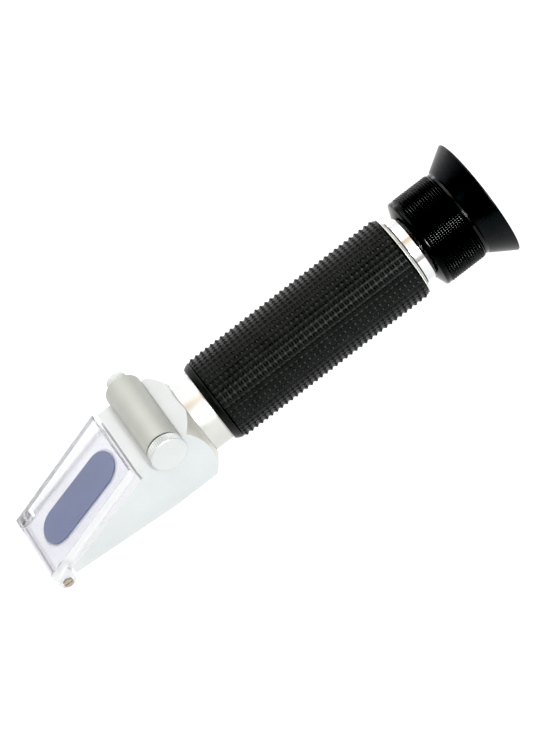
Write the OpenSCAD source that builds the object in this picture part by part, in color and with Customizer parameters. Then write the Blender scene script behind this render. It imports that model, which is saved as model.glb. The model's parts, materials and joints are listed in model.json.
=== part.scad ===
// Hand-held refractometer with automatic temperature compensation.
// +X runs along the barrel to the eyepiece, +Z is up, and the origin lies on the flat underside
// of the head, below the cross tube.

/* [Head] */
// width of the head across the barrel
head_w = 29.2; // [28.8:0.1:30]
// height of the head
head_h = 22.2; // [22:0.1:22.8]
// radius of the dome turned behind the head
dome_r = 25.8; // [25.6:0.1:26.4]
// length of the head from the cross tube to the nose
nose_len = 44.5; // [44.2:0.1:45]
// angle of the sample seat
seat_angle = 20.7; // [20.4:0.1:21]
// radius of the light bore through the head
light_bore_r = 6; // [5:0.1:6.1]

/* [Daylight plate] */
// thickness of the clear plate
plate_t = 3.5; // [3:0.1:3.8]
// width of the clear plate
plate_w = 27.8; // [27.6:0.1:28]
// angle of the clear plate as it rests, 2 degrees above the seat
plate_angle = 22.7; // [22.5:0.1:22.9]
// thickness of each hinge ear
ear_t = 2.4; // [2.2:0.1:2.5]
// radius of the round end of each hinge ear
ear_r = 2.75; // [2.5:0.05:2.8]

/* [Prism] */
// length of the measuring face
prism_len = 33.9; // [33:0.1:35]
// width of the measuring face
prism_w = 12.7; // [12:0.1:13.6]

/* [Cross tube] */
// outer radius of the cross tube
tube_r = 5.9; // [5.7:0.01:5.9]
// height of the cross tube's axis above the top of the head
tube_rise = 1.55; // [1.5:0.05:1.7]
// radius of the calibration knob
knob_r = 6; // [5.5:0.01:6.2]
// thickness of the calibration knob
knob_t = 3.3; // [2.8:0.1:3.6]
// radius of the end cap on the far side
cap_r = 3.4; // [3:0.1:4.2]
// length of the end cap on the far side
cap_len = 5.4; // [3:0.1:6]

/* [Barrel] */
// outer radius of the front collar
collar_r = 12.3; // [12.1:0.05:12.5]
// outer radius of the rubber grip
grip_r = 14.5; // [13.8:0.05:14.8]
// length of the rubber grip
grip_len = 73.9; // [73:0.1:74.2]
// outer radius of the polished rear tube
rear_r = 11.1; // [11.05:0.01:11.12]

/* [Eyepiece] */
// outer radius of the focus ring
ring_r = 15.35; // [14.8:0.05:15.5]
// radius of the eyecup at its rim
cup_r = 20; // [19:0.1:21]
// distance of the eyecup's rim from the cross tube
cup_end = 122.2; // [121:0.1:123]
// wall thickness of the eyecup
cup_wall = 1.5; // [1.3:0.1:1.8]

/* [Hidden] */
$fn = 96;
eps = 0.01;
axis_z = head_h / 2;
half_w = head_w / 2;
dome_x = -10.65;
head_rear_x = 11.7;
flat_front_x = -8.4;
nose_bottom_z = 3.3;
slot_x = -10.9;
slot_floor_z = 18.4;
seat_x = -11.8;
seat_z = 18.3;
front_overlap = 2;
pivot_x = -48.35;
pivot_z = 1.8;
lug_r = 2.6;
lug_half = 11.2;
lug_chin = 1.75;
latch_r = 0.8;
latch_z = 20.4;
latch_depth = 1.5;

plate_x = -12.05;
plate_z = 20.6;
plate_tip_x = -51.1;
ear_back_x = -45.6;
plate_reach = 60;

screw_shoulder_r = 1.0;
screw_thread_r = 0.8;
screw_head_r = 1.6;
screw_head_t = 0.8;
screw_depth = 6.5;
hole_gap = 0.05;

prism_top = 0.6;
prism_rear = -2.1;
prism_exit_x = -13;
prism_depth = 18;
prism_floor_nose = [-49, 3.15];
prism_floor_rear = [prism_exit_x, 4.9];
seal_w = 0.7;
seal_depth = 1.9;
seal_gap = 0.02;

tube_z = head_h + tube_rise;
tube_half = 14.8;
tube_bore_r = 4.4;
trough_r = tube_r + 0.23;
strip_slot_x = 1.3;
strip_slot_y = 4.2;
clamp_y = 9.2;
clamp_r = 0.8;
clamp_head_r = 1.5;
clamp_head_t = 0.9;
clamp_bottom_z = 13.6;
bushing_t = 3.6;
bushing_flange_t = 0.5;
bushing_flange_r = 5.4;
plug_r = tube_bore_r - 0.02;
spindle_r = 1.45;
spindle_hole_r = 1.5;
spindle_front_y = -tube_half - bushing_flange_t - 2.5;
spindle_rear_y = 3.5;
knob_y = -tube_half - bushing_flange_t - 0.1;
knob_chamfer = 0.35;
carriage_r = tube_bore_r - 0.08;
carriage_half = 4.5;
strip_t = 0.5;
strip_w = 5;
strip_top_z = tube_z - 2.3;
strip_bottom_z = axis_z + 3.7;
comp_lens_r = 3.4;
comp_lens_t = 1.6;
comp_ring_r = 4.0;

collar_front_x = 6.4;
collar_rear_x = 18.1;
collar_tail_x = 29;
collar_spigot_r = 9.6;
collar_tail_r = 10.95;
collar_bore_r = 8;

tube_out_r = 12.15;
tube_in_r = 11;
tube_rear_x = 92.3;
grip_x = 18.3;
grip_in_r = 12.45;
grip_round = 0.9;

objective_x = 21.5;
objective_r = 7.9;
objective_t = 3.2;
objective_curve = 22;
objective_stop_r = 6.6;

baffle_x = 50;
baffle_t = 1.2;
baffle_len = 5;
baffle_hole_r = 7.4;

reticle_x = 77;
reticle_t = 1.2;
reticle_r = 8.6;
reticle_front_x = 73.5;
reticle_rear_x = 81.5;
reticle_hole_r = 7.2;

rear_x = 82;
rear_end_x = 108.6;
rear_spigot_r = 10.96;
rear_bore_r = 9.5;
key_x = 103;
key_r = 0.95;
key_slot_half = 2.6;
key_slot_w = 2.0;

end_ring_t = 1.6;
end_ring_front_r = 13.9;
end_ring_rear_r = 11.75;

cell_x = 98;
cell_r = rear_bore_r - 0.05;
cell_bore_r = 8.2;
cell_stop_r = 7.2;
flange_x = 110.6;
flange_end_x = 112;
flange_r = 12.2;
lens_r = 8.15;
field_x = 99;
field_t = 2.4;
eye_x = 107.2;
eye_t = 3.6;
field_curve = 28;
eye_curve = 17;
lens_retainer_t = 0.9;

ring_front_x = 96.8;
ring_chamfer_x = 98.3;
ring_groove_x = 99.3;
ring_groove_w = 0.4;
ring_groove_d = 0.25;
ring_rear_x = 113.05;
ring_bore_r = rear_r + 0.05;
ring_pocket_x = flange_x - 0.05;
ring_pocket_r = flange_r + 0.05;
spigot_r = 13.2;
spigot_x = 116.4;
retainer_x = flange_end_x + 0.05;
retainer_t = 1.6;
retainer_bore_r = 9;

cup_x = 113.1;
cup_root_r = 14.9;
cup_bore_r = 13.5;
cup_flare_x = 113.6;
cup_bore_x = 116.8;
cup_lip = 0.5;

// ---------- shared shapes ----------

// turns a half section, drawn as [radius, x], about the barrel's axis
module turned() {
    translate([0, 0, axis_z]) rotate([0, 90, 0]) rotate_extrude() children();
}

// turns a half section, drawn as [radius, y], about the cross tube's axis
module turned_across() {
    translate([0, 0, tube_z]) rotate([-90, 0, 0]) rotate_extrude() children();
}

// a plain rectangle of a half section
module band(r_in, r_out, from, to) {
    translate([r_in, from]) square([r_out - r_in, to - from]);
}

// pulls a side view, drawn as [x, z], to a width centred on the symmetry plane
module side_view(width) {
    translate([0, width / 2, 0]) rotate([90, 0, 0]) linear_extrude(width) children();
}

// puts things on the underside of the lowered plate: x along the slope, z away from it
module on_plate() {
    translate([plate_x, 0, plate_z]) rotate([0, -plate_angle, 0]) children();
}

// puts things on the sample seat: x along the slope, z away from it
module on_seat() {
    translate([seat_x, 0, seat_z]) rotate([0, -seat_angle, 0]) children();
}

// a bar with two round ends, the outline of the measuring face
module pill(grow, from, to) {
    r = prism_w / 2 + grow;
    x_rear = prism_rear - prism_w / 2;
    x_nose = prism_rear - prism_len + prism_w / 2;
    translate([0, 0, from]) linear_extrude(to - from) {
        translate([x_rear, 0]) circle(r);
        translate([x_nose, 0]) circle(r);
        translate([x_nose, -r]) square([x_rear - x_nose, 2 * r]);
    }
}

// a lens with one bulging face: radius, thickness, curve radius, x of the flat face, and the
// side on which it bulges, 1 to the rear or -1 to the front
module lens(r, t, curve, x, bulge) {
    intersection() {
        translate([x + bulge * (t - curve), 0, axis_z]) sphere(curve, $fn = 192);
        translate([min(x, x + bulge * t * 2), 0, axis_z]) rotate([0, 90, 0]) cylinder(r = r, h = 2 * t);
    }
}

function seat_height(x) = seat_z + (x - seat_x) * tan(seat_angle);

// ---------- head ----------

// side view of the head, with the round nose that carries the plate's hinge
module head_side() {
    translate([pivot_x, pivot_z]) circle(lug_r);
    polygon([
        [pivot_x - 0.3, pivot_z + lug_r - 0.1],
        [pivot_x - 0.3, pivot_z],
        [pivot_x + lug_chin, pivot_z - lug_chin],
        [-nose_len, nose_bottom_z],
        [flat_front_x, 0],
        [front_overlap, 0],
        [front_overlap, head_h],
        [slot_x, head_h],
        [slot_x, slot_floor_z],
        [seat_x, slot_floor_z],
        [seat_x, seat_z],
        [-nose_len, seat_height(-nose_len)]
    ]);
}

// everything that is bored, cut or milled out of the head
module head_cuts() {
    // pocket of the prism
    intersection() {
        on_seat() pill(0.03, -prism_depth, 5);
        side_view(head_w) prism_side(0.03);
    }
    // groove of the seal
    on_seat() pill(seal_w + 0.03, -seal_depth - 0.03, 5);
    // light bore, and the wider bore for the collar
    turned() band(0, light_bore_r, prism_exit_x - 2, head_rear_x + 1);
    turned() band(0, collar_spigot_r + 0.05, collar_front_x - 0.05, head_rear_x + 1);
    // trough of the cross tube, with a slot for the strip and two screw holes
    turned_across() band(0, trough_r, -head_w, head_w);
    translate([-strip_slot_x, -strip_slot_y, axis_z])
        cube([2 * strip_slot_x, 2 * strip_slot_y, head_h - axis_z]);
    for (side = [-1, 1])
        translate([0, side * clamp_y, clamp_bottom_z - 0.2]) cylinder(r = clamp_r + hole_gap, h = head_h);
    // latch hole behind the plate
    translate([slot_x - eps, 0, latch_z]) rotate([0, 90, 0]) cylinder(r = latch_r, h = latch_depth);
    // threads of the hinge screws
    for (side = [-1, 1])
        translate([pivot_x, side * lug_half, pivot_z]) rotate([side * 90, 0, 0])
            translate([0, 0, -0.2]) cylinder(r = screw_thread_r + 0.02, h = screw_depth + 0.4);
}

module head_casting() {
    color([0.80, 0.82, 0.79]) difference() {
        union() {
            side_view(head_w) head_side();
            intersection() {
                translate([front_overlap - 1, -half_w, 0]) cube([head_rear_x - front_overlap + 1, head_w, head_h]);
                translate([dome_x, 0, axis_z]) sphere(dome_r, $fn = 160);
            }
        }
        head_cuts();
        // room for the plate's ears beside the nose
        for (y = [-half_w - 1, lug_half])
            translate([-nose_len - 10, y, -5]) cube([10, half_w + 1 - lug_half, head_h]);
    }
}

// side view that bounds the prism from below and behind
module prism_side(grow) {
    polygon([
        [prism_floor_nose[0] - 1, prism_floor_nose[1] - grow],
        [prism_floor_rear[0] + grow, prism_floor_rear[1] - grow],
        [prism_floor_rear[0] + grow, head_h + 5],
        [prism_floor_nose[0] - 1, head_h + 5]
    ]);
}

module prism() {
    color([0.55, 0.60, 0.75]) intersection() {
        on_seat() pill(0, -prism_depth, prism_top);
        side_view(head_w) prism_side(0);
    }
}

module prism_seal() {
    color([0.85, 0.87, 0.88]) on_seat() difference() {
        pill(seal_w, -seal_depth, -seal_gap);
        pill(seal_gap, -seal_depth - 1, 1);
    }
}

// ---------- daylight plate ----------

// side view of one hinge ear, up to the middle of the plate
module ear_side() {
    translate([pivot_x, pivot_z]) circle(ear_r);
    polygon([
        [plate_tip_x, pivot_z],
        [ear_back_x, pivot_z],
        [ear_back_x, plate_under(ear_back_x) + 1],
        [plate_tip_x, plate_under(plate_tip_x) + 1]
    ]);
}

function plate_under(x) = plate_z + (x - plate_x) * tan(plate_angle);

module daylight_plate() {
    color([0.88, 0.90, 0.97, 0.5]) difference() {
        union() {
            intersection() {
                on_plate() translate([-plate_reach, -plate_w / 2, 0])
                    cube([plate_reach + 5, plate_w, plate_t]);
                translate([plate_tip_x, -plate_w, 0]) cube([plate_x - plate_tip_x, 2 * plate_w, 2 * head_h]);
            }
            for (side = [-1, 1])
                translate([0, side * (plate_w - ear_t) / 2, 0]) side_view(ear_t) ear_side();
        }
        translate([pivot_x, plate_w, pivot_z]) rotate([90, 0, 0])
            cylinder(r = screw_shoulder_r + hole_gap, h = 2 * plate_w);
    }
}

module plate_screws() {
    color([0.62, 0.50, 0.30]) for (side = [-1, 1])
        translate([pivot_x, side * lug_half, pivot_z]) rotate([side * 90, 0, 0]) {
            cylinder(r = screw_thread_r, h = screw_depth);
            translate([0, 0, -(plate_w / 2 - lug_half) - hole_gap])
                cylinder(r = screw_shoulder_r, h = plate_w / 2 - lug_half + hole_gap);
            difference() {
                translate([0, 0, -(plate_w / 2 - lug_half) - hole_gap - screw_head_t])
                    cylinder(r = screw_head_r, h = screw_head_t);
                translate([-screw_head_r, -0.2, -(plate_w / 2 - lug_half) - hole_gap - screw_head_t - eps])
                    cube([2 * screw_head_r, 0.4, 0.35]);
            }
        }
}

// ---------- cross tube ----------

module cross_tube() {
    color([0.72, 0.70, 0.66]) difference() {
        turned_across() band(tube_bore_r, tube_r, -tube_half, tube_half);
        translate([-strip_slot_x, -strip_slot_y, tube_z - tube_r - 1])
            cube([2 * strip_slot_x, 2 * strip_slot_y, tube_r]);
        for (side = [-1, 1])
            translate([0, side * clamp_y, tube_z - tube_r - 1]) cylinder(r = clamp_r + hole_gap, h = tube_r);
    }
}

module tube_screws() {
    seat = tube_z - sqrt(tube_bore_r * tube_bore_r - clamp_head_r * clamp_head_r) + 0.02;
    color([0.60, 0.60, 0.62]) for (side = [-1, 1])
        translate([0, side * clamp_y, 0]) {
            translate([0, 0, clamp_bottom_z]) cylinder(r = clamp_r, h = seat - clamp_bottom_z);
            difference() {
                translate([0, 0, seat]) cylinder(r = clamp_head_r, h = clamp_head_t);
                translate([-0.2, -clamp_head_r, seat + clamp_head_t - 0.35]) cube([0.4, 2 * clamp_head_r, 1]);
            }
        }
}

module tube_bushing() {
    color([0.15, 0.15, 0.16]) turned_across() {
        band(spindle_hole_r, plug_r, -tube_half - eps, -tube_half + bushing_t);
        band(spindle_hole_r, bushing_flange_r, -tube_half - bushing_flange_t, -tube_half);
    }
}

module end_cap() {
    color([0.70, 0.70, 0.68]) turned_across() polygon([
        [0, tube_half - bushing_t],
        [plug_r, tube_half - bushing_t],
        [plug_r, tube_half],
        [cap_r, tube_half],
        [cap_r, tube_half + cap_len - knob_chamfer],
        [cap_r - knob_chamfer, tube_half + cap_len],
        [0, tube_half + cap_len]
    ]);
}

module calibration_knob() {
    color([0.78, 0.77, 0.74]) turned_across() polygon([
        [0, knob_y - knob_t],
        [knob_r - knob_chamfer, knob_y - knob_t],
        [knob_r, knob_y - knob_t + knob_chamfer],
        [knob_r, knob_y - knob_chamfer],
        [knob_r - knob_chamfer, knob_y],
        [spindle_r + 0.02, knob_y],
        [spindle_r + 0.02, spindle_front_y - 0.02],
        [0, spindle_front_y - 0.02]
    ]);
}

module calibration_screw() {
    color([0.60, 0.60, 0.62]) turned_across() band(0, spindle_r, spindle_front_y, spindle_rear_y);
}

module lens_carriage() {
    color([0.75, 0.62, 0.35]) difference() {
        turned_across() band(spindle_hole_r, carriage_r, -carriage_half, carriage_half);
        translate([-strip_t / 2 - 0.02, -strip_w / 2 - 0.02, tube_z - tube_r])
            cube([strip_t + 0.04, strip_w + 0.04, strip_top_z + 0.02 - tube_z + tube_r]);
    }
}

module bimetal_strip() {
    color([0.66, 0.55, 0.38]) {
        translate([-strip_t / 2, -strip_w / 2, strip_bottom_z])
            cube([strip_t, strip_w, strip_top_z - strip_bottom_z]);
        turned() band(comp_lens_r + 0.02, comp_ring_r, -comp_lens_t / 2, comp_lens_t / 2);
    }
}

module compensator_lens() {
    color([0.80, 0.88, 0.90]) turned() band(0, comp_lens_r, -comp_lens_t / 2, comp_lens_t / 2);
}

// ---------- barrel ----------

module front_collar() {
    color([0.82, 0.82, 0.80]) turned() polygon([
        [collar_bore_r, collar_front_x],
        [collar_spigot_r, collar_front_x],
        [collar_spigot_r, head_rear_x],
        [collar_r, head_rear_x],
        [collar_r, collar_rear_x],
        [collar_tail_r, collar_rear_x],
        [collar_tail_r, collar_tail_x],
        [collar_bore_r, collar_tail_x],
        [collar_bore_r, objective_x + 0.3],
        [objective_stop_r, objective_x - 0.1],
        [objective_stop_r, objective_x - 1.6],
        [collar_bore_r, objective_x - 1.8]
    ]);
}

module objective_lens() {
    color([0.75, 0.85, 0.90])
        lens(objective_r, objective_t, objective_curve, objective_x + objective_t, -1);
}

module objective_retainer() {
    from = objective_x + objective_t;
    color([0.12, 0.12, 0.13]) turned() band(objective_stop_r, collar_bore_r - 0.03, from, from + 1.5);
}

module barrel_tube() {
    color([0.75, 0.75, 0.74]) turned() band(tube_in_r, tube_out_r, collar_rear_x, tube_rear_x);
}

module barrel_baffle() {
    color([0.08, 0.08, 0.09]) turned() {
        band(baffle_hole_r, tube_in_r - 0.03, baffle_x, baffle_x + baffle_t);
        band(tube_in_r - 1, tube_in_r - 0.03, baffle_x + baffle_t - eps, baffle_x + baffle_len);
    }
}

module grip_sleeve() {
    grip_end = grip_x + grip_len;
    color([0.07, 0.07, 0.07]) turned() {
        band(grip_in_r, grip_r - grip_round, grip_x, grip_end);
        band(grip_in_r, grip_r, grip_x + grip_round, grip_end - grip_round);
        for (x = [grip_x + grip_round, grip_end - grip_round])
            translate([grip_r - grip_round, x]) circle(grip_round, $fn = 48);
    }
}

module reticle_holder() {
    color([0.10, 0.10, 0.11]) turned() polygon([
        [reticle_hole_r, reticle_front_x],
        [tube_in_r - 0.03, reticle_front_x],
        [tube_in_r - 0.03, reticle_rear_x],
        [reticle_r + 0.03, reticle_rear_x],
        [reticle_r + 0.03, reticle_x - 0.03],
        [reticle_hole_r, reticle_x - 0.03]
    ]);
}

module reticle_disc() {
    color([0.80, 0.90, 0.88]) turned() band(0, reticle_r, reticle_x, reticle_x + reticle_t);
}

module reticle_retainer() {
    from = reticle_x + reticle_t + 0.03;
    color([0.14, 0.14, 0.15]) turned() band(reticle_hole_r, reticle_r, from, from + 1.5);
}

module rear_tube() {
    color([0.86, 0.86, 0.85]) difference() {
        turned() polygon([
            [rear_bore_r, rear_x],
            [rear_spigot_r, rear_x],
            [rear_spigot_r, tube_rear_x],
            [rear_r, tube_rear_x],
            [rear_r, rear_end_x],
            [rear_bore_r, rear_end_x]
        ]);
        translate([key_x - key_slot_half, -key_slot_w / 2, axis_z + rear_bore_r - 1])
            cube([2 * key_slot_half, key_slot_w, 4]);
    }
}

module end_ring() {
    color([0.88, 0.86, 0.80]) turned() polygon([
        [rear_r + 0.03, tube_rear_x],
        [end_ring_front_r, tube_rear_x],
        [end_ring_front_r, tube_rear_x + 0.2],
        [end_ring_rear_r, tube_rear_x + end_ring_t - 0.15],
        [end_ring_rear_r - 0.15, tube_rear_x + end_ring_t],
        [rear_r + 0.03, tube_rear_x + end_ring_t]
    ]);
}

// ---------- eyepiece ----------

module eyepiece_cell() {
    color([0.12, 0.12, 0.13]) difference() {
        turned() polygon([
            [cell_stop_r, cell_x],
            [cell_r, cell_x],
            [cell_r, flange_x],
            [flange_r, flange_x],
            [flange_r, flange_end_x],
            [cell_bore_r, flange_end_x],
            [cell_bore_r, field_x - 0.02],
            [cell_stop_r, field_x - 0.02]
        ]);
        translate([key_x, 0, axis_z]) cylinder(r = key_r + 0.02, h = cell_r + 1);
    }
}

module guide_key() {
    color([0.65, 0.65, 0.66]) translate([key_x, 0, axis_z + cell_bore_r + 0.15])
        cylinder(r = key_r, h = rear_r - 0.2 - cell_bore_r - 0.15);
}

module field_lens() {
    color([0.75, 0.85, 0.90]) lens(lens_r, field_t, field_curve, field_x, 1);
}

module lens_spacer() {
    color([0.10, 0.10, 0.11]) turned() band(cell_stop_r, lens_r, field_x + field_t, eye_x);
}

module eye_lens() {
    color([0.75, 0.85, 0.90]) lens(lens_r, eye_t, eye_curve, eye_x + eye_t, -1);
}

module lens_retainer() {
    color([0.14, 0.14, 0.15]) turned()
        band(cell_stop_r, lens_r, flange_end_x - lens_retainer_t, flange_end_x);
}

module focus_ring() {
    color([0.09, 0.09, 0.10]) turned() difference() {
        polygon([
            [ring_bore_r, ring_front_x],
            [ring_bore_r + 0.25, ring_front_x],
            [ring_r - 0.25, ring_chamfer_x - 0.1],
            [ring_r, ring_chamfer_x + 0.25],
            [ring_r, ring_rear_x - 0.2],
            [ring_r - 0.2, ring_rear_x],
            [spigot_r, ring_rear_x],
            [spigot_r, spigot_x],
            [ring_pocket_r, spigot_x],
            [ring_pocket_r, ring_pocket_x],
            [ring_bore_r, ring_pocket_x]
        ]);
        translate([ring_r - ring_groove_d, ring_groove_x]) square([1, ring_groove_w]);
    }
}

module cell_retainer() {
    color([0.14, 0.14, 0.15]) turned()
        band(retainer_bore_r, ring_pocket_r - 0.02, retainer_x, retainer_x + retainer_t);
}

module eyecup() {
    inner_r = cup_r - cup_wall;
    color([0.06, 0.06, 0.06]) turned() {
        polygon([
            [cup_bore_r, cup_x],
            [cup_root_r, cup_x],
            [cup_root_r, cup_flare_x],
            [cup_root_r + 0.4, cup_flare_x + 0.6],
            [cup_r, cup_end - cup_lip],
            [cup_r - cup_lip, cup_end],
            [inner_r, cup_end],
            [inner_r - cup_lip, cup_end - cup_lip],
            [cup_bore_r, cup_bore_x]
        ]);
    }
}

head_casting();
prism();
prism_seal();
daylight_plate();
plate_screws();
cross_tube();
tube_screws();
tube_bushing();
end_cap();
calibration_knob();
calibration_screw();
lens_carriage();
bimetal_strip();
compensator_lens();
front_collar();
objective_lens();
objective_retainer();
barrel_tube();
barrel_baffle();
grip_sleeve();
reticle_holder();
reticle_disc();
reticle_retainer();
rear_tube();
end_ring();
eyepiece_cell();
guide_key();
field_lens();
lens_spacer();
eye_lens();
lens_retainer();
focus_ring();
cell_retainer();
eyecup();
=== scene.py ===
import bpy
import bmesh
import json
import math
import numpy as np
from mathutils import Matrix, Vector


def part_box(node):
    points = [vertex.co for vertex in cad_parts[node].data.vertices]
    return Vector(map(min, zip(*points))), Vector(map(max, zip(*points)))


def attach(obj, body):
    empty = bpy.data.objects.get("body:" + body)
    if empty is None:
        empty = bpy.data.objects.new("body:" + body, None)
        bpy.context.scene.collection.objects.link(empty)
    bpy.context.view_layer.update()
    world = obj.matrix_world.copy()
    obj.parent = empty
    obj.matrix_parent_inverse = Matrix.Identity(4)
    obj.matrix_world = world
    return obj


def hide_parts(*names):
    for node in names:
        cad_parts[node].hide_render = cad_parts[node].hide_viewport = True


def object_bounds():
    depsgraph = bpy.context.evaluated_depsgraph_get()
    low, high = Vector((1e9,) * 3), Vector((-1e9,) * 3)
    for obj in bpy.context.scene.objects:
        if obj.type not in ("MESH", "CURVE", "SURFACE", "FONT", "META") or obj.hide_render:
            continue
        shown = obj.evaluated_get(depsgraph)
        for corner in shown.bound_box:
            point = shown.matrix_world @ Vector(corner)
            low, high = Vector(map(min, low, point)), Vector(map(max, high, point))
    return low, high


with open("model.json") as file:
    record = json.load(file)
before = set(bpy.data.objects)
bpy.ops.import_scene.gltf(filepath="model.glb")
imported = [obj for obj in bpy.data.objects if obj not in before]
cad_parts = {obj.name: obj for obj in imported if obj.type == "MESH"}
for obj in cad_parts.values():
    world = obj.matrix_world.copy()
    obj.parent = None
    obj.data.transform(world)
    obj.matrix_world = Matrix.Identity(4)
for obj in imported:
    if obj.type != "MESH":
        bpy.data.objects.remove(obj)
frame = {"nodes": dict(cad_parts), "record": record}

CAD_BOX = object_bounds()
MM = 0.001


# ---------------------------------------------------------------- places, all read from the frame

def lo(node):
    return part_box(node)[0]


def hi(node):
    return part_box(node)[1]


def barrel_size(node):
    """Front end, rear end and radius of a piece on the barrel's axis, in mm."""
    return lo(node).x / MM, hi(node).x / MM, (hi(node).z - lo(node).z) / 2 / MM


def cross_size(node):
    """Near end, far end and radius of a piece on the cross tube's axis, in mm."""
    return lo(node).y / MM, hi(node).y / MM, (hi(node).x - lo(node).x) / 2 / MM


def body_of(node):
    for body, nodes in frame["record"]["behaviour"]["bodies"].items():
        if node in nodes:
            return body


AXIS_Z = (lo("focus_ring").z + hi("focus_ring").z) / 2
TUBE_Z = (lo("cross_tube").z + hi("cross_tube").z) / 2


# ---------------------------------------------------------------- node trees

class Tree:
    """A small builder for a node tree."""

    def __init__(self, tree):
        self.tree = tree

    def add(self, kind, **props):
        n = self.tree.nodes.new(kind)
        for k, v in props.items():
            setattr(n, k, v)
        return n

    def link(self, a, b):
        self.tree.links.new(a, b)

    def ramp(self, fac, stops):
        r = self.add("ShaderNodeValToRGB")
        e = r.color_ramp.elements
        e[0].position, e[0].color = stops[0][0], (*stops[0][1], 1)
        e[1].position, e[1].color = stops[-1][0], (*stops[-1][1], 1)
        for place, colour in stops[1:-1]:
            e.new(place).color = (*colour, 1)
        self.link(fac, r.inputs["Fac"])
        return r.outputs["Color"]

    def span(self, fac, a, b, low=0.3, high=0.7):
        """Spreads the values from low to high over a to b."""
        r = self.add("ShaderNodeMapRange")
        r.inputs["From Min"].default_value = low
        r.inputs["From Max"].default_value = high
        r.inputs["To Min"].default_value = a
        r.inputs["To Max"].default_value = b
        self.link(fac, r.inputs["Value"])
        return r.outputs[0]

    def math(self, op, *values):
        m = self.add("ShaderNodeMath", operation=op)
        for i, v in enumerate(values):
            if isinstance(v, (int, float)):
                m.inputs[i].default_value = v
            else:
                self.link(v, m.inputs[i])
        return m.outputs[0]


class Material(Tree):
    """A material with one Principled shader."""

    def __init__(self, name):
        self.mat = bpy.data.materials.new(name)
        self.mat.use_nodes = True
        super().__init__(self.mat.node_tree)
        self.tree.nodes.clear()
        out = self.add("ShaderNodeOutputMaterial")
        self.bsdf = self.add("ShaderNodeBsdfPrincipled")
        self.link(self.bsdf.outputs[0], out.inputs["Surface"])
        self.coords = self.add("ShaderNodeTexCoord").outputs["Object"]

    def set(self, **values):
        for k, v in values.items():
            self.bsdf.inputs[k.replace("_", " ")].default_value = v

    def stretched(self, scale):
        m = self.add("ShaderNodeMapping")
        m.inputs["Scale"].default_value = scale
        self.link(self.coords, m.inputs["Vector"])
        return m.outputs[0]

    def noise(self, scale, detail=3.0, rough=0.5, vector=None):
        n = self.add("ShaderNodeTexNoise")
        n.inputs["Scale"].default_value = scale
        n.inputs["Detail"].default_value = detail
        n.inputs["Roughness"].default_value = rough
        self.link(vector or self.coords, n.inputs["Vector"])
        return n.outputs["Fac"]

    def bump(self, height, distance, strength=1.0):
        """Adds a bump on top of those already there."""
        b = self.add("ShaderNodeBump")
        b.inputs["Distance"].default_value = distance
        b.inputs["Strength"].default_value = strength
        self.link(height, b.inputs["Height"])
        if self.bsdf.inputs["Normal"].is_linked:
            self.link(self.bsdf.inputs["Normal"].links[0].from_socket, b.inputs["Normal"])
        self.link(b.outputs[0], self.bsdf.inputs["Normal"])

    def colour(self, fac, stops):
        self.link(self.ramp(fac, stops), self.bsdf.inputs["Base Color"])

    def rough(self, socket):
        self.link(socket, self.bsdf.inputs["Roughness"])


def shade(c, k):
    return tuple(min(1.0, v * k) for v in c)


# ---------------------------------------------------------------- materials

def blasted(name, base, rough, metallic, grain=2600.0, depth=0.00002):
    """Bead-blasted or satin painted metal: fine even grain and a faint cloudy tone."""
    patch = 90.0
    m = Material(name)
    cloud = m.noise(patch, 3.0)
    fine = m.noise(grain, 2.0, 0.6)
    both = m.math("ADD", m.math("MULTIPLY", cloud, 0.6), m.math("MULTIPLY", fine, 0.4))
    m.colour(both, [(0.3, shade(base, 0.94)), (0.5, base), (0.7, shade(base, 1.05))])
    m.rough(m.span(fine, rough - 0.06, rough + 0.06))
    m.set(Metallic=metallic)
    m.bump(fine, depth)
    m.bump(m.noise(patch * 3, 2.0), depth * 1.5, 0.5)
    return m


def turned(name, base, rough, pitch=9000.0, depth=0.000004, metallic=1.0):
    """Metal turned on a lathe about the barrel: fine rings along X, with faint handling marks."""
    m = Material(name)
    rings = m.noise(1.0, 2.0, 0.7, m.stretched((pitch, 60, 60)))
    cloud = m.noise(160, 3.0)
    both = m.math("ADD", m.math("MULTIPLY", rings, 0.5), m.math("MULTIPLY", cloud, 0.5))
    m.colour(cloud, [(0.3, shade(base, 0.95)), (0.7, shade(base, 1.03))])
    m.rough(m.span(both, rough - 0.05, rough + 0.06))
    m.set(Metallic=metallic)
    m.bump(rings, depth)
    return m


def rubber(name, base, rough, grain=3000.0, depth=0.000012, level=0.35):
    """Moulded rubber: fine grain with slight tone changes."""
    m = Material(name)
    cloud = m.noise(220, 4.0, 0.6)
    fine = m.noise(grain, 2.0, 0.6)
    m.colour(cloud, [(0.3, shade(base, 0.8)), (0.7, shade(base, 1.25))])
    m.rough(m.span(fine, rough - 0.07, rough + 0.07))
    m.set(Specular_IOR_Level=level)
    m.bump(fine, depth)
    m.bump(cloud, depth * 2, 0.6)
    return m


def anodised(name, base, rough, level=0.4):
    """Black anodised metal."""
    m = Material(name)
    cloud = m.noise(300, 3.0)
    fine = m.noise(5200, 2.0, 0.6)
    m.colour(cloud, [(0.3, shade(base, 0.8)), (0.7, shade(base, 1.2))])
    m.rough(m.span(fine, rough - 0.05, rough + 0.06))
    m.set(Specular_IOR_Level=level)
    m.bump(fine, 0.000005)
    return m


def clear(name, tint, rough, ior, transmission=1.0):
    """Clear plastic or glass with faint moulding ripples."""
    m = Material(name)
    ripple = m.noise(120, 2.0)
    fine = m.noise(900, 2.0)
    m.colour(ripple, [(0.3, shade(tint, 0.985)), (0.7, tint)])
    m.rough(m.span(fine, rough, rough + 0.02))
    m.set(Transmission_Weight=transmission, IOR=ior)
    m.bump(ripple, 0.00002, 0.4)
    return m


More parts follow.
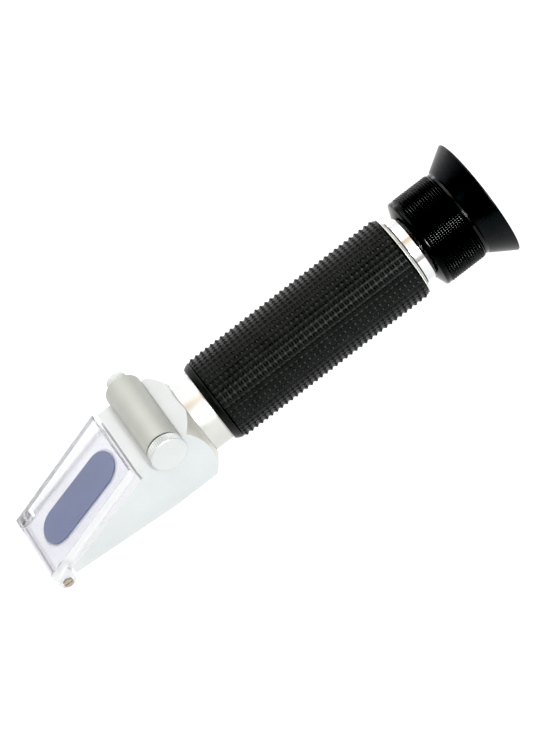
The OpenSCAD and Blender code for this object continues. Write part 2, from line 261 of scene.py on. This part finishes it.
def prism_glass():
    """Polished glass block over a dark light path: slate blue, glossy."""
    m = Material("prism_glass")
    cloud = m.noise(60, 2.0)
    m.colour(cloud, [(0.3, (0.060, 0.105, 0.280)), (0.7, (0.078, 0.125, 0.310))])
    m.rough(m.span(m.noise(700, 2.0), 0.06, 0.10))
    m.set(Coat_Weight=0.6, Coat_Roughness=0.03)
    m.bump(cloud, 0.00001, 0.3)
    return m


ACRYLIC_IOR, GLASS_IOR = 1.49, 1.52

HEAD = blasted("head_paint", (0.511, 0.528, 0.534), 0.42, metallic=0.1)
SEAT = blasted("seat_metal", (0.880, 0.880, 0.875), 0.30, metallic=1.0, grain=3200, depth=0.000002)
# Painted light: the head's nose takes a much paler copy of the head paint, lifting the shade on its
# rounded, down-facing surfaces.
NOSE_PAINTED_LIGHT = blasted("nose_painted_light", (0.860, 0.865, 0.890), 0.40, metallic=0.3, grain=3200, depth=0.000003)
TUBE = blasted("blasted_tube", (0.415, 0.421, 0.392), 0.50, metallic=0.3, grain=2200, depth=0.00003)
KNOB = blasted("blasted_knob", (0.546, 0.561, 0.560), 0.42, metallic=0.4, grain=2400)
CAP = blasted("cap_metal", (0.590, 0.615, 0.610), 0.40, metallic=0.4)

DOME = turned("dome_metal", (0.660, 0.640, 0.590), 0.38, pitch=5000, depth=0.000006, metallic=0.6)
COLLAR = turned("collar_metal", (0.615, 0.612, 0.590), 0.38, pitch=7000)
END_RING = turned("end_ring_metal", (0.950, 0.930, 0.880), 0.34, metallic=0.4)
POLISHED = turned("rear_tube_metal", (0.730, 0.735, 0.740), 0.10, depth=0.000002)
INNER_METAL = turned("barrel_metal", (0.700, 0.700, 0.690), 0.35)
BRONZE = turned("bronze", (0.400, 0.350, 0.285), 0.38)
STEEL = turned("steel", (0.560, 0.560, 0.570), 0.30)

GRIP = rubber("grip_rubber", (0.0095, 0.0102, 0.0096), 0.36, level=0.13)
CUP = rubber("cup_rubber", (0.0052, 0.0060, 0.0064), 0.28, grain=5200, depth=0.000003, level=0.13)
SEAL = rubber("seal_white", (0.820, 0.850, 0.870), 0.5, level=0.3)

BLACK = anodised("black_anodised", (0.0030, 0.0034, 0.0034), 0.17, level=0.12)
GLOSS = anodised("gloss_black", (0.0030, 0.0034, 0.0034), 0.10, level=0.22)
# Black for the inner parts; the end collar also takes it in its groove as painted shade.
INNER_BLACK_AND_GROOVE_SHADE = anodised("inner_black_and_groove_shade", (0.008, 0.008, 0.009), 0.48)

ACRYLIC = clear("clear_acrylic", (0.965, 0.962, 1.000), 0.02, ACRYLIC_IOR)
# Painted light: the plate's rim faces take hazier, whiter copies of the clear acrylic that stand in for
# the light glowing in its edges; the far and end faces are hazier than the near ones.
ACRYLIC_NEAR_RIM_GLOW = clear("acrylic_near_rim_glow", (0.980, 0.980, 0.995), 0.12, ACRYLIC_IOR, transmission=0.64)
ACRYLIC_FAR_RIM_GLOW = clear("acrylic_far_rim_glow", (0.990, 0.990, 1.000), 0.14, ACRYLIC_IOR, transmission=0.34)
LENS = clear("lens_glass", (0.960, 0.985, 0.985), 0.01, GLASS_IOR)
PRISM = prism_glass()


# ---------------------------------------------------------------- mesh helpers

TURNED_GAP, CAD_GAP = 1e-7, 1e-6


def place(name, node, slot, mesh):
    """Puts a mesh in the scene. It stands for a CAD node and rides on that node's body."""
    obj = bpy.data.objects.new(name, mesh)
    bpy.context.scene.collection.objects.link(obj)
    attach(obj, body_of(node))
    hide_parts(node)


def paint_faces(mesh, paint):
    """Adds materials to a mesh: each comes with a test of the faces that take it."""
    for other, test in paint:
        mesh.materials.append(other.mat)
        for p in mesh.polygons:
            if test(p.normal, p.center / MM):
                p.material_index = len(mesh.materials) - 1


def dress(mat, *nodes):
    """Gives CAD nodes that stay as they are a better material."""
    for node in nodes:
        data = frame["nodes"][node].data
        data.materials.clear()
        data.materials.append(mat.mat)


def merge_points(mesh, gap, flat=None):
    """Merges points that coincide and, if asked, faces that lie in one plane."""
    bm = bmesh.new()
    bm.from_mesh(mesh)
    bmesh.ops.remove_doubles(bm, verts=bm.verts, dist=gap)
    if flat:
        bmesh.ops.dissolve_limit(bm, angle_limit=flat, verts=bm.verts, edges=bm.edges)
    bm.to_mesh(mesh)
    bm.free()


def finish_mesh(mesh, mat, sharp=30.0):
    """Turns the faces outward and smooths the edges that are blunter than sharp, in degrees."""
    bm = bmesh.new()
    bm.from_mesh(mesh)
    bmesh.ops.recalc_face_normals(bm, faces=bm.faces)
    bm.to_mesh(mesh)
    bm.free()
    mesh.polygons.foreach_set("use_smooth", [True] * len(mesh.polygons))
    mesh.set_sharp_from_angle(angle=math.radians(sharp))
    mesh.materials.append(mat.mat)


def round_profile(points, steps=5):
    """Rounds the corners of a closed profile. A point is (x, r) or (x, r, corner radius)."""
    shortest, straight, most_of_side = 1e-9, math.radians(88), 0.45
    out = []
    n = len(points)
    for i, p in enumerate(points):
        here = Vector(p[:2])
        radius = p[2] if len(p) > 2 else 0.0
        a, b = Vector(points[i - 1][:2]) - here, Vector(points[(i + 1) % n][:2]) - here
        if radius <= 0 or a.length < shortest or b.length < shortest:
            out.append(tuple(here))
            continue
        room = most_of_side * min(a.length, b.length)
        a.normalize()
        b.normalize()
        half = a.angle(b) / 2
        if half > straight:
            out.append(tuple(here))
            continue
        cut = min(radius / math.tan(half), room)
        radius = cut * math.tan(half)
        start, end = here + a * cut, here + b * cut
        centre = here + (a + b).normalized() * (radius / math.sin(half))
        u, v = start - centre, end - centre
        angle = u.angle(v)
        for k in range(steps + 1):
            t = k / steps
            w = (u * math.sin((1 - t) * angle) + v * math.sin(t * angle)) / math.sin(angle)
            out.append(tuple(centre + w))
    return out


def even_angles(cols):
    return np.linspace(0, 2 * np.pi, cols, endpoint=False)


def ring_mesh(name, rows, angles, closed=True, axis="X"):
    """Joins rings of points about the barrel (X) or the cross tube (Y). A row is a place along the
    axis and a radius, in mm. The radius is one number, or one for each angle."""
    cos, sin = np.cos(angles), np.sin(angles)
    cols, count = len(angles), len(rows)
    rings = []
    for along, radius in rows:
        line = np.full(cols, along * MM)
        side = radius * MM * cos
        up = (AXIS_Z if axis == "X" else TUBE_Z) + radius * MM * sin
        rings.append(np.stack((line, side, up) if axis == "X" else (side, line, up), 1))
    faces = []
    for i in range(count if closed else count - 1):
        a, b = i * cols, ((i + 1) % count) * cols
        faces += [(a + j, a + (j + 1) % cols, b + (j + 1) % cols, b + j) for j in range(cols)]
    mesh = bpy.data.meshes.new(name)
    mesh.from_pydata(np.concatenate(rings).tolist(), [], faces)
    mesh.update()
    return mesh


def lathe(name, node, slot, mat, profile, cols=192, axis="X", paint=()):
    """A turned piece. profile goes once round the half section, in mm."""
    mesh = ring_mesh(name, round_profile(profile), even_angles(cols), axis=axis)
    merge_points(mesh, TURNED_GAP)
    finish_mesh(mesh, mat)
    paint_faces(mesh, paint)
    place(name, node, slot, mesh)


def from_cad(name, node, slot, mat, bevel, paint=()):
    """A copy of a CAD node's mesh with rounded edges and flat faces that stay flat.
    paint gives extra materials and a test for the faces that take each."""
    mesh = frame["nodes"][node].data.copy()
    mesh.materials.clear()
    merge_points(mesh, CAD_GAP, flat=math.radians(0.5))
    mesh.polygons.foreach_set("use_smooth", [True] * len(mesh.polygons))
    draft = bpy.data.objects.new(name + ".draft", mesh)
    bpy.context.scene.collection.objects.link(draft)
    edges = draft.modifiers.new("edges", "BEVEL")
    edges.width = bevel * MM
    edges.segments = 3
    edges.limit_method = "ANGLE"
    edges.angle_limit = math.radians(30.0)
    edges.harden_normals = False
    normals = draft.modifiers.new("normals", "WEIGHTED_NORMAL")
    normals.mode = "FACE_AREA"
    normals.weight = 100
    normals.keep_sharp = True
    shaped = draft.evaluated_get(bpy.context.evaluated_depsgraph_get())
    final = bpy.data.meshes.new_from_object(shaped)
    final.name = name
    bpy.data.objects.remove(draft)
    final.materials.clear()
    final.materials.append(mat.mat)
    paint_faces(final, paint)
    place(name, node, slot, final)


def bump_grid(start, cell, count, around, spots, rise, floor, deep):
    """Rows and angles of a band of small bumps. spots are shares of one cell, and rise is a bump's
    height there, from 0 to 1. Each point is as high as the lower of its two outlines."""
    angles = np.array([(k + t) / around for k in range(around) for t in spots]) * 2 * np.pi
    across = np.array(rise * around)
    rows = [
        (start + (k + t) * cell, floor + np.minimum(across, h) * deep)
        for k in range(count) for t, h in zip(spots, rise)
    ]
    return rows, angles


# ---------------------------------------------------------------- head

SEAT_SLOPE = math.radians(20.7)
SEAT_NORMAL = Vector((-math.sin(SEAT_SLOPE), 0, math.cos(SEAT_SLOPE)))
SEAT_REAR_X, NOSE_REAR_X = -11, -44.6
DOME_CENTRE, DOME_R, DOME_SLACK = Vector((-10.65, 0.0, AXIS_Z / MM)), 25.8, 0.12
IN_SEAT_PLANE, ON_DOME_SKIN, ON_PLATE_FLAT = 0.9995, 0.995, 0.9
FACES_NEAR_SIDE = -0.3


def on_seat_face(normal, centre):
    return normal.dot(SEAT_NORMAL) > IN_SEAT_PLANE and centre.x < SEAT_REAR_X


def on_dome(normal, centre):
    out = centre - DOME_CENTRE
    if centre.x <= 0 or abs(out.length - DOME_R) >= DOME_SLACK:
        return False
    return normal.dot(out.normalized()) > ON_DOME_SKIN


def on_nose(normal, centre):
    return centre.x < NOSE_REAR_X and not on_seat_face(normal, centre)


def on_plate_rim(normal):
    return abs(normal.dot(SEAT_NORMAL)) < ON_PLATE_FLAT


def on_plate_edge(normal, centre):
    return on_plate_rim(normal) and normal.y < FACES_NEAR_SIDE


def on_plate_back(normal, centre):
    return on_plate_rim(normal) and normal.y >= FACES_NEAR_SIDE


# The nose faces take the paler copy of the paint, painted light that lifts their shade.
from_cad("head", "head_casting", "head_paint", HEAD, 0.28,
         paint=[(SEAT, on_seat_face), (DOME, on_dome), (NOSE_PAINTED_LIGHT, on_nose)])
from_cad("measuring_prism", "prism", "prism_glass", PRISM, 0.15)
# The plate's rim faces take the hazier acrylic copies, painted light for the glow in its edges.
from_cad("plate", "daylight_plate", "clear_acrylic", ACRYLIC, 0.12,
         paint=[(ACRYLIC_NEAR_RIM_GLOW, on_plate_edge), (ACRYLIC_FAR_RIM_GLOW, on_plate_back)])
from_cad("hinge_screws", "plate_screws", "bronze", BRONZE, 0.08)
dress(SEAL, "prism_seal")


# ---------------------------------------------------------------- cross tube and knobs

TUBE_BORE, CAP_R, PINHOLE_R = 4.6, 3.4, 0.001


def fluted_knob(name, node, slot, mat, face, back, r, bore, flutes, depth, chamfer):
    """A knob with V flutes along its rim. face is its outer end."""
    angles = even_angles(flutes * 6)
    phase = (angles * flutes / (2 * np.pi)) % 1.0
    cut = depth * 2 * np.abs(phase - 0.5)
    way = 1 if back > face else -1
    rows = [
        (face, PINHOLE_R),
        (face, r * 0.55),
        (face, r - chamfer * 1.6),
        (face, r - chamfer * 1.1),
        (face + way * chamfer * 0.35, r - chamfer * 0.55),
        (face + way * chamfer * 0.9, r - cut * 0.4),
        (face + way * chamfer * 1.4, r - cut),
        (back - way * chamfer * 1.2, r - cut),
        (back - way * chamfer * 0.6, r - cut * 0.4 - chamfer * 0.2),
        (back, r - chamfer),
        (back, bore),
    ]
    mesh = ring_mesh(name, rows, angles, closed=False, axis="Y")
    merge_points(mesh, TURNED_GAP)
    finish_mesh(mesh, mat, 25.0)
    place(name, node, slot, mesh)


tube_near, tube_far, tube_r = cross_size("cross_tube")
knob_near, knob_far, knob_r = cross_size("calibration_knob")
cap_far = cross_size("end_cap")[1]
lathe("compensator_tube", "cross_tube", "blasted_metal", TUBE, [
    (tube_near, TUBE_BORE, 0.1), (tube_near, tube_r, 0.25),
    (tube_far, tube_r, 0.3), (tube_far, TUBE_BORE, 0.1),
], axis="Y")
fluted_knob("knob", "calibration_knob", "blasted_metal", KNOB, knob_near, knob_far, knob_r,
            bore=1.5, flutes=48, depth=0.28, chamfer=0.35)
fluted_knob("cap", "end_cap", "turned_metal", CAP, cap_far, tube_far + 0.02, CAP_R,
            bore=0.5, flutes=40, depth=0.10, chamfer=0.62)
dress(INNER_BLACK_AND_GROOVE_SHADE, "tube_bushing")
dress(STEEL, "tube_screws", "calibration_screw")
dress(BRONZE, "lens_carriage", "bimetal_strip")
dress(LENS, "compensator_lens")


# ---------------------------------------------------------------- barrel

head_rear = hi("head_casting").x / MM
collar_a, collar_b, collar_r = barrel_size("front_collar")
grip_a, grip_b, grip_r = barrel_size("grip_sleeve")
end_a, end_b, end_r = barrel_size("end_ring")
rear_tube_r = barrel_size("rear_tube")[2]

COLLAR_BORE, COLLAR_SPIGOT, COLLAR_SEAT = 8.0, 9.6, 10.95
collar_step = grip_a - 0.2
lathe("collar", "front_collar", "turned_metal", COLLAR, [
    (collar_a, COLLAR_BORE), (collar_a, COLLAR_SPIGOT), (head_rear, COLLAR_SPIGOT),
    (head_rear, collar_r, 0.15), (collar_step, collar_r, 0.12), (collar_step, COLLAR_SEAT),
    (collar_b, COLLAR_SEAT), (collar_b, COLLAR_BORE),
])
dress(POLISHED, "rear_tube")

END_RING_REAR_R = 11.85
groove = end_b - 0.5


# Painted shade: the faces of the end collar's groove take the inner black, standing in for the shade in
# the gap to the rear tube.
def in_shaded_groove(normal, centre):
    return centre.x > groove - 0.02


lathe("end_collar", "end_ring", "turned_metal", END_RING, [
    (end_a, rear_tube_r + 0.03), (end_a, end_r, 0.1), (end_a + 0.2, end_r, 0.15),
    (groove, END_RING_REAR_R, 0.12), (groove, rear_tube_r + 0.12),
    (end_b, rear_tube_r + 0.1), (end_b, rear_tube_r + 0.03),
], paint=[(INNER_BLACK_AND_GROOVE_SHADE, in_shaded_groove)])


def grip_waffle():
    """The rubber grip: a smooth sloping band, rows of small blunt pyramids and a round end."""
    pitch, around, deep, bore = 1.89, 46, 0.55, 12.5
    valley = grip_r - deep
    first, last = grip_a + 2.75, grip_b - 0.7
    count = round((last - first) / pitch)
    front = [
        (grip_a, bore), (grip_a, 12.85), (grip_a + 0.15, 13.05), (grip_a + 0.6, 13.35),
        (grip_a + 1.4, 13.75), (grip_a + 2.1, 13.98), (grip_a + 2.4, 13.98),
        (grip_a + 2.5, 13.80), (grip_a + 2.62, 13.72),
    ]
    back = [
        (last, valley), (last + 0.1, valley + 0.1), (last + 0.3, valley),
        (grip_b - 0.15, valley - 0.35), (grip_b, valley - 0.75), (grip_b, bore),
    ]
    waffle, angles = bump_grid(
        first, (last - first) / count, count, around,
        spots=[0.0, 0.12, 0.28, 0.40, 0.50, 0.60, 0.72, 0.88],
        rise=[0.0, 0.02, 0.45, 0.86, 1.0, 0.86, 0.45, 0.02], floor=valley, deep=deep)
    mesh = ring_mesh("grip", front + waffle + back, angles)
    finish_mesh(mesh, GRIP, 40.0)
    place("grip", "grip_sleeve", "grip_rubber", mesh)


grip_waffle()
dress(INNER_METAL, "barrel_tube")
dress(INNER_BLACK_AND_GROOVE_SHADE, "barrel_baffle", "objective_retainer", "reticle_holder", "reticle_retainer")
dress(LENS, "objective_lens", "reticle_disc")


# ---------------------------------------------------------------- eyepiece

def focus_knurl():
    """The focus ring: front cone, groove, fine square knurl, smooth round rear band and spigot."""
    tip, end, r = barrel_size("focus_ring")
    lip_r, front_bore, rear_bore, spigot_r = 11.4, 11.15, 12.25, 13.2
    start = end - 19.9
    shoulder = start + 16.55
    first, last = start + 3.75, start + 15.75
    cell, around, deep = 0.86, 132, 0.26
    floor = r - deep
    count = round((last - first) / cell)
    front = round_profile([
        (start + 14.0, front_bore), (tip, front_bore, 0.05), (tip, lip_r, 0.05),
        (start + 1.75, r - 0.30, 0.4), (start + 2.2, r - 0.12, 0.4), (start + 2.75, r - 0.02, 0.06),
        (start + 2.8, r - 0.28), (start + 3.05, r - 0.28), (start + 3.1, r - 0.24),
        (start + 3.55, r - 0.05), (first, floor),
    ])
    back = round_profile([
        (last, floor), (last + 0.1, r - 0.06, 0.08), (shoulder - 0.25, r - 0.16, 0.35),
        (shoulder, r - 0.75, 0.2), (shoulder, spigot_r, 0.05), (end, spigot_r, 0.1),
        (end, rear_bore, 0.1), (start + 14.05, rear_bore),
    ], 4)
    knurl, angles = bump_grid(
        first, (last - first) / count, count, around,
        spots=[0.0, 0.32, 0.5, 0.68], rise=[0.0, 0.95, 1.0, 0.95], floor=floor, deep=deep)
    mesh = ring_mesh("ring", front + knurl + back, angles)
    finish_mesh(mesh, BLACK, 32.0)
    place("ring", "focus_ring", "black_anodised", mesh)


focus_knurl()

CUP_BORE = 13.5
cup_a, cup_b, cup_r = barrel_size("eyecup")


def on_cup_neck(normal, centre):
    return centre.x < cup_a + 1.05


lathe("cup", "eyecup", "cup_rubber", CUP, [
    (cup_a, CUP_BORE, 0.1), (cup_a, 14.85, 0.1), (cup_a + 0.5, 15.0, 0.8),
    (cup_a + 1.0, 14.92, 0.1), (cup_a + 1.35, 15.4, 0.4), (cup_b - 0.55, cup_r - 0.05, 0.3),
    (cup_b - 0.15, cup_r, 0.3), (cup_b, cup_r - 0.35, 0.25), (cup_b - 0.1, cup_r - 1.3, 0.3),
    (cup_b - 0.9, cup_r - 2.0, 0.5), (cup_a + 3.6, CUP_BORE, 0.4),
], cols=224, paint=[(GLOSS, on_cup_neck)])
dress(INNER_BLACK_AND_GROOVE_SHADE, "eyepiece_cell", "cell_retainer", "lens_retainer", "lens_spacer")
dress(STEEL, "guide_key")
dress(LENS, "field_lens", "eye_lens")


# ---------------------------------------------------------------- camera, floor and light

AZIMUTH, ELEVATION, ROLL = math.radians(-1.4914), math.radians(46.3416), math.radians(-36.4448)
DISTANCE, LENS_MM, SENSOR_MM = 0.76566, 121.843, 36.0
AIM = Vector((lo("grip_sleeve").x + 0.02014, 0.0, AXIS_Z - 0.00332))
BLACK_LEVEL = 0.018


def make_camera():
    cam = bpy.data.objects.new("camera", bpy.data.cameras.new("camera"))
    bpy.context.scene.collection.objects.link(cam)
    flat = math.cos(ELEVATION)
    back = Vector((math.sin(AZIMUTH) * flat, -math.cos(AZIMUTH) * flat, math.sin(ELEVATION)))
    level = (-back).to_track_quat("-Z", "Y").to_matrix().to_4x4()
    cam.matrix_world = Matrix.Translation(AIM + back * DISTANCE) @ level @ Matrix.Rotation(ROLL, 4, "Z")
    cam.data.lens = LENS_MM
    cam.data.sensor_width = SENSOR_MM
    cam.data.clip_start, cam.data.clip_end = 0.01, 20.0
    bpy.context.scene.camera = cam


def make_floor():
    """A pale paper floor that glows a little, so that it comes out an even white."""
    z, half = CAD_BOX[0].z - 0.0002, 3.0
    corners = [(-half, -half, z), (half, -half, z), (half, half, z), (-half, half, z)]
    mesh = bpy.data.meshes.new("floor")
    mesh.from_pydata(corners, [], [(0, 1, 2, 3)])
    obj = bpy.data.objects.new("floor", mesh)
    bpy.context.scene.collection.objects.link(obj)
    m = Material("floor_paper")
    m.colour(m.noise(6, 2.0), [(0.3, (0.24, 0.24, 0.24)), (0.7, (0.26, 0.26, 0.26))])
    m.set(Roughness=0.9, Specular_IOR_Level=0.1, Emission_Color=(1, 1, 1, 1), Emission_Strength=0.95)
    mesh.materials.append(m.mat)


def make_world():
    """Soft surroundings: a dark line at the front horizon, a bright front, a warm ceiling and a
    bright back. They dim toward both ends of the barrel."""
    # Degrees up from the front horizon and over to the back, and the colour there.
    sky = [
        (-20, (0.35, 0.35, 0.33)), (-8, (0.30, 0.29, 0.27)), (-1, (0.30, 0.29, 0.27)),
        (9, (0.36, 0.35, 0.32)), (18, (0.72, 0.72, 0.71)), (60, (0.74, 0.74, 0.74)),
        (70, (0.62, 0.54, 0.44)), (86, (0.48, 0.37, 0.26)), (98, (0.55, 0.46, 0.36)),
        (112, (0.68, 0.67, 0.64)), (140, (0.68, 0.68, 0.68)), (160, (0.58, 0.59, 0.61)),
        (178, (0.50, 0.52, 0.55)), (200, (0.48, 0.49, 0.50)),
    ]
    start, end = sky[0][0], sky[-1][0]
    strength = 2.0
    world = bpy.data.worlds.new("studio")
    world.use_nodes = True
    background = world.node_tree.nodes["Background"]
    t = Tree(world.node_tree)
    parts = t.add("ShaderNodeSeparateXYZ")
    t.link(t.add("ShaderNodeTexCoord").outputs["Generated"], parts.inputs[0])
    x, y, z = parts.outputs
    angle = t.math("ARCTAN2", z, t.math("MULTIPLY", y, -1.0))
    share = t.span(angle, 0.0, 1.0, math.radians(start), math.radians(end))
    colour = t.ramp(share, [((a - start) / (end - start), c) for a, c in sky])
    side = t.math("ABSOLUTE", x)
    mix = t.add("ShaderNodeMix")
    t.link(t.span(y, 0.0, 1.0, 0.1, 0.45), mix.inputs[0])
    t.link(t.span(side, 1.0, 0.10, 0.22, 0.60), mix.inputs[2])
    t.link(t.span(side, 1.0, 0.15, 0.52, 0.82), mix.inputs[3])
    t.link(colour, background.inputs["Color"])
    t.link(t.math("MULTIPLY", mix.outputs[0], strength), background.inputs["Strength"])
    bpy.context.scene.world = world


def make_lamps():
    """Soft boxes that aim at the middle of the part."""
    middle = Vector((0.035, 0, 0.01))
    white, cool, bluish = (1, 1, 1), (0.93, 1.0, 1.0), (0.90, 0.97, 1.0)
    for name, offset, size, watts, colour in [
        ("right_box", (0.34, -0.56, 0.46), (0.16, 0.24), 0.3, cool),
        ("left_box", (-0.34, -0.56, 0.46), (0.14, 0.22), 0.4, cool),
        ("front_box", (0.15, -0.60, 0.42), (0.06, 0.19), 3.8, cool),
        ("cup_box", (-0.85, 0.02, 0.42), (0.35, 0.30), 0.9, bluish),
        ("far_box", (0.10, 0.75, 0.10), (0.60, 0.16), 0.8, white),
        ("nose_box", (-0.70, 0.10, 0.08), (0.40, 0.20), 0.8, white),
        ("top_box", (0.10, 0.28, 0.72), (0.70, 0.70), 2.2, white),
    ]:
        data = bpy.data.lights.new(name, "AREA")
        data.shape = "RECTANGLE"
        data.size, data.size_y = size
        data.energy = watts
        data.color = colour
        lamp = bpy.data.objects.new(name, data)
        bpy.context.scene.collection.objects.link(lamp)
        spot = middle + Vector(offset)
        lamp.location = spot
        lamp.rotation_euler = (middle - spot).to_track_quat("-Z", "Y").to_euler()


make_camera()
make_floor()
make_world()
make_lamps()
view = bpy.context.scene.view_settings
view.view_transform = "Standard"
view.use_curve_mapping = True
view.curve_mapping.black_level = (BLACK_LEVEL, BLACK_LEVEL, BLACK_LEVEL)
view.curve_mapping.update()
